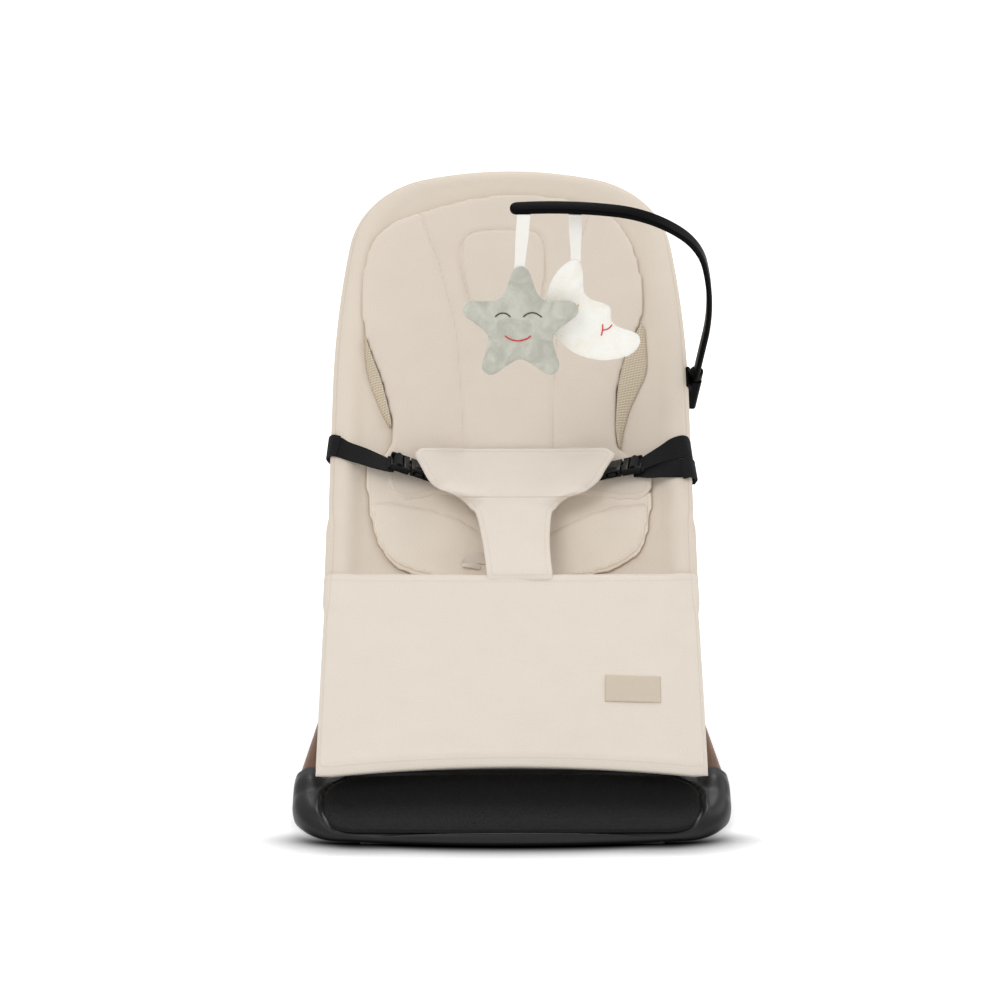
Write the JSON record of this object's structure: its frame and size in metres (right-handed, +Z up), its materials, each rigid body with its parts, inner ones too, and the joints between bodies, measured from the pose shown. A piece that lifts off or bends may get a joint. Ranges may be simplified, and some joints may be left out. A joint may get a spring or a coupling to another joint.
{
  "type": "infant bouncer seat",
  "caption": "Infant bouncer seat: a fabric sling on a two-part tube frame, sprung on a floor base, with side-release harness and a swivelling toy bar.",
  "frame": {"origin": "on the floor, at the centre of the overall footprint", "axes": "+X to the side the toy bar's foot is on, +Y towards the head end, +Z up"},
  "size_m": [0.439, 0.65, 0.5866],
  "materials": {
    "foot_shell": "satin black moulded plastic",
    "foot_pad": "fine-grained black plastic",
    "grip_rubber": "matte black rubber",
    "screw_steel": "zinc-plated",
    "walnut": "walnut, satin lacquer",
    "spring_steel": "oiled spring wire",
    "frame_tube": "black powder coat",
    "hub_plastic": "satin black",
    "button_plastic": "satin dark grey",
    "leg_cloth": "woven cotton, natural beige",
    "label_cloth": "tan woven patch, plain",
    "back_cloth": "woven cotton, natural beige",
    "insert_cloth": "soft jersey, beige",
    "waist_cloth": "woven cotton, natural beige",
    "webbing": "black woven webbing",
    "buckle_plastic": "black acetal",
    "toy_bar_plastic": "satin black",
    "ribbon_cloth": "white ribbon",
    "star_plush": "short grey-green plush",
    "moon_plush": "short cream plush"
  },
  "bodies": {
    "base": {"front_foot": "foot_shell", "front_foot_pad": "foot_pad", "front_foot_cover": "foot_shell", "front_grips": "grip_rubber", "cover_screws": "screw_steel", "left_rail": "walnut", "right_rail": "walnut", "rear_foot": "foot_shell", "rear_grips": "grip_rubber", "rail_screws": "screw_steel", "left_pivot_pin": "screw_steel", "right_pivot_pin": "screw_steel", "left_torsion_spring": "spring_steel", "right_torsion_spring": "spring_steel"},
    "seat": {"spring_frame": "frame_tube", "leg_hoop": "frame_tube", "left_leg_hub": "hub_plastic", "right_leg_hub": "hub_plastic", "hub_screws": "screw_steel", "leg_cover": "leg_cloth", "leg_cover_tab": "label_cloth", "left_button_spring": "spring_steel", "right_button_spring": "spring_steel"},
    "back": {"back_hoop": "frame_tube", "left_back_hub": "hub_plastic", "right_back_hub": "hub_plastic", "back_cover": "back_cloth", "infant_insert": "insert_cloth", "head_pad": "insert_cloth", "seat_pad": "insert_cloth", "waist_panel": "waist_cloth", "left_strap": "webbing", "right_strap": "webbing", "left_buckle_socket": "buckle_plastic", "right_buckle_socket": "buckle_plastic", "toy_bar_clip": "toy_bar_plastic"},
    "left_button": {"left_lock_button": "button_plastic"},
    "right_button": {"right_lock_button": "button_plastic"},
    "left_plug": {"left_buckle_plug": "buckle_plastic", "left_strap_tail": "webbing"},
    "right_plug": {"right_buckle_plug": "buckle_plastic", "right_strap_tail": "webbing"},
    "left_upper_prong": {"left_upper_prong": "buckle_plastic"},
    "left_lower_prong": {"left_lower_prong": "buckle_plastic"},
    "right_upper_prong": {"right_upper_prong": "buckle_plastic"},
    "right_lower_prong": {"right_lower_prong": "buckle_plastic"},
    "toy_bar": {"toy_bar": "toy_bar_plastic", "star_loop": "ribbon_cloth", "moon_loop": "ribbon_cloth"},
    "star": {"star": "star_plush", "star_ribbon": "ribbon_cloth"},
    "moon": {"moon": "moon_plush", "moon_ribbon": "ribbon_cloth"}
  },
  "joints": [
    {"name": "bounce", "type": "hinge", "parent": "base", "child": "seat", "pos_m": [0, -0.2065, 0.024], "axis": [1, 0, 0], "range_deg": [-5, 3], "stiffness_Nm_per_rad": 220, "springref_deg": 1.46},
    {"name": "recline", "type": "hinge", "parent": "seat", "child": "back", "pos_m": [0, -0.025, 0.17], "axis": [1, 0, 0], "range_deg": [-40, 0]},
    {"name": "left_lock_press", "type": "slide", "parent": "seat", "child": "left_button", "axis": [1, 0, 0], "range_m": [0, 0.0045], "stiffness_N_per_m": 900, "springref_m": -0.004, "deforming": ["left_button_spring"]},
    {"name": "right_lock_press", "type": "slide", "parent": "seat", "child": "right_button", "axis": [-1, 0, 0], "range_m": [0, 0.0045], "stiffness_N_per_m": 900, "springref_m": -0.004, "deforming": ["right_button_spring"]},
    {"name": "left_plug_pull", "type": "slide", "parent": "back", "child": "left_plug", "axis": [-0.9234, -0.1248, 0.3631], "range_m": [0, 0.02]},
    {"name": "right_plug_pull", "type": "slide", "parent": "back", "child": "right_plug", "axis": [0.9234, -0.1248, 0.3631], "range_m": [0, 0.02]},
    {"name": "left_upper_squeeze", "type": "slide", "parent": "left_plug", "child": "left_upper_prong", "axis": [-0.1857, -0.6826, -0.7068], "range_m": [0, 0.0024]},
    {"name": "left_lower_squeeze", "type": "slide", "parent": "left_plug", "child": "left_lower_prong", "axis": [0.1857, 0.6826, 0.7068], "range_m": [0, 0.0024]},
    {"name": "right_upper_squeeze", "type": "slide", "parent": "right_plug", "child": "right_upper_prong", "axis": [0.1857, -0.6826, -0.7068], "range_m": [0, 0.0024]},
    {"name": "right_lower_squeeze", "type": "slide", "parent": "right_plug", "child": "right_lower_prong", "axis": [-0.1857, 0.6826, 0.7068], "range_m": [0, 0.0024]},
    {"name": "toy_bar_swivel", "type": "hinge", "parent": "back", "child": "toy_bar", "pos_m": [0.20537, 0.11745, 0.36912], "axis": [0.1045, -0.5446, 0.8322], "range_deg": [-15, 100]},
    {"name": "star_swing", "type": "hinge", "parent": "toy_bar", "child": "star", "pos_m": [0.013, -0.02719, 0.57132], "axis": [1, 0, 0], "range_deg": [-40, 0]},
    {"name": "moon_swing", "type": "hinge", "parent": "toy_bar", "child": "moon", "pos_m": [0.066, -0.00929, 0.57567], "axis": [1, 0, 0], "range_deg": [0, 40]}
  ],
  "couplings": [
    {"joint": "left_upper_squeeze", "follows": "left_plug_pull", "ratio": 0.12},
    {"joint": "left_lower_squeeze", "follows": "left_plug_pull", "ratio": 0.12},
    {"joint": "right_upper_squeeze", "follows": "right_plug_pull", "ratio": 0.12},
    {"joint": "right_lower_squeeze", "follows": "right_plug_pull", "ratio": 0.12}
  ]
}
